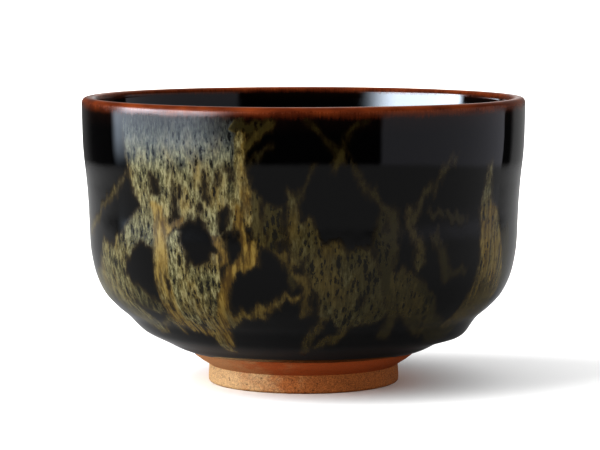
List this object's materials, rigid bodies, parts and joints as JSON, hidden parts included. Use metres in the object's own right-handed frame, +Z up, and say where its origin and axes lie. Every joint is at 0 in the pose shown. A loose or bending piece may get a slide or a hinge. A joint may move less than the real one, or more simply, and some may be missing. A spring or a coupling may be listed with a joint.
{
  "type": "matcha bowl",
  "caption": "Round-bellied stoneware tea bowl on a turned foot ring, black iron glaze with a rust-brown lip and golden-olive ash glaze runs, for whisking tea.",
  "frame": {"origin": "on the table, at the centre of the foot ring's standing face", "axes": "+Z up along the bowl's axis; -Y is the side with the broad ash glaze fall to the left of its middle"},
  "size_m": [0.12, 0.12, 0.0775],
  "materials": {
    "clay": "unglazed stoneware, fine grained, matt",
    "foot_clay": "unglazed stoneware, sandy, matt",
    "black_glaze": "high gloss black iron glaze",
    "lining_glaze": "high gloss black iron glaze",
    "rust_glaze": "gloss rust-brown where the glaze is thin",
    "ash_glaze": "gloss golden-olive, streaked"
  },
  "bodies": {
    "root": {"clay_body": "clay", "foot_ring": "foot_clay", "outer_glaze": "black_glaze", "inner_glaze": "lining_glaze", "rim_glaze": "rust_glaze", "ash_glaze": "ash_glaze"}
  },
  "joints": []
}
